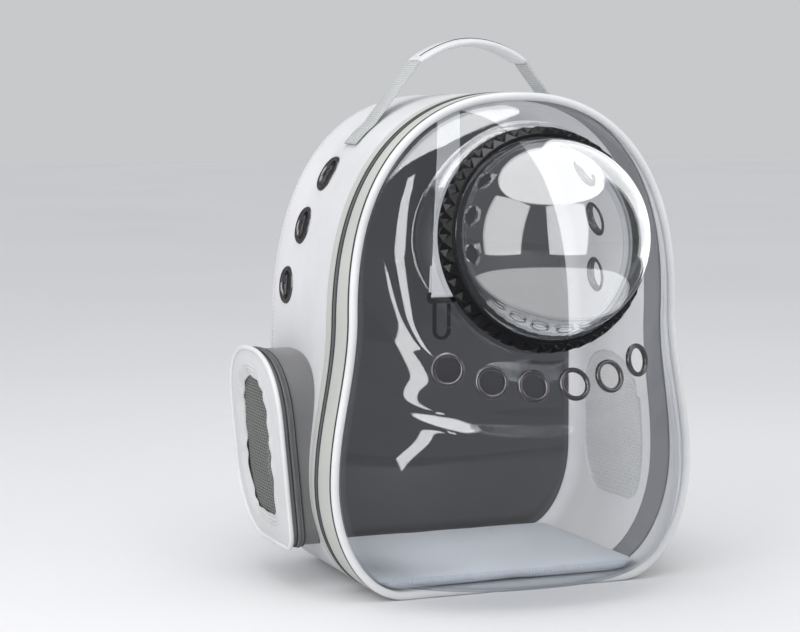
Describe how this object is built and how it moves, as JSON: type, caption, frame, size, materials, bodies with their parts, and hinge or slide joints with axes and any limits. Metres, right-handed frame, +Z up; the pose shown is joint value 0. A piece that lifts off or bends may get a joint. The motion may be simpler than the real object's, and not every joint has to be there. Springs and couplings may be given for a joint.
{
  "type": "bubble pet carrier backpack",
  "caption": "Backpack for a small pet with a clear moulded front, a clear bubble in a knurled ring, side pockets with mesh windows and padded straps.",
  "frame": {"origin": "middle of the flat base, on the surface that the carrier stands on", "axes": "+Z up, the clear front and the bubble face -Y, +X is the right-hand side seen from the front"},
  "size_m": [0.3916, 0.4186, 0.4662],
  "materials": {
    "fabric": "coated woven cloth, pale grey-white",
    "band": "coated cloth band, pale grey-green",
    "piping": "white piping",
    "zip": "dark nylon coil zip",
    "tape": "grey woven tape",
    "clear": "clear moulded plastic",
    "black_plastic": "glossy black moulding",
    "gunmetal": "polished gunmetal",
    "mesh": "open knitted mesh",
    "board": "dark grey brushed cloth",
    "mat": "pale blue-grey plush",
    "webbing": "pale woven webbing"
  },
  "bodies": {
    "root": {"body_shell": "fabric", "back_board": "board", "floor_mat": "mat", "zip_tape": "tape", "zip_coil": "zip", "door_band": "band", "door_hinge": "band", "rim_piping": "piping", "clear_front": "clear", "vent_eyelet_1": "gunmetal", "vent_eyelet_2": "gunmetal", "vent_eyelet_3": "gunmetal", "vent_eyelet_4": "gunmetal", "vent_eyelet_5": "gunmetal", "vent_eyelet_6": "gunmetal", "side_eyelet_left_1": "gunmetal", "side_eyelet_left_2": "gunmetal", "side_eyelet_left_3": "gunmetal", "side_eyelet_right_1": "gunmetal", "side_eyelet_right_2": "gunmetal", "side_eyelet_right_3": "gunmetal", "side_pocket_left": "fabric", "side_pocket_right": "fabric", "pocket_piping_left": "piping", "pocket_piping_right": "piping", "pocket_zip_left": "zip", "pocket_zip_right": "zip", "pocket_mesh_left": "mesh", "pocket_mesh_right": "mesh", "window_mesh_left": "mesh", "window_mesh_right": "mesh", "shoulder_strap_left": "fabric", "shoulder_strap_right": "fabric", "strap_adjuster_left": "black_plastic", "strap_adjuster_right": "black_plastic", "strap_webbing_left": "webbing", "strap_webbing_right": "webbing", "zip_slider_1": "gunmetal", "zip_slider_2": "gunmetal", "handle_strap": "webbing", "handle_grip": "fabric", "leash_strap": "webbing", "leash_hook": "black_plastic", "back_pad": "mesh"},
    "bubble": {"bubble_ring": "black_plastic", "bubble_dome": "clear"},
    "gate": {"hook_gate": "black_plastic"}
  },
  "joints": [
    {"name": "bubble_turn", "type": "hinge", "parent": "root", "child": "bubble", "pos_m": [0, -0.146, 0.30008], "axis": [0, -0.9869, 0.1616], "range_deg": [0, 30]},
    {"name": "hook_gate_swing", "type": "hinge", "parent": "root", "child": "gate", "pos_m": [0.007, 0.0625, 0.22795], "axis": [0, 1, 0], "range_deg": [0, 28], "stiffness_Nm_per_rad": 0.002}
  ]
}
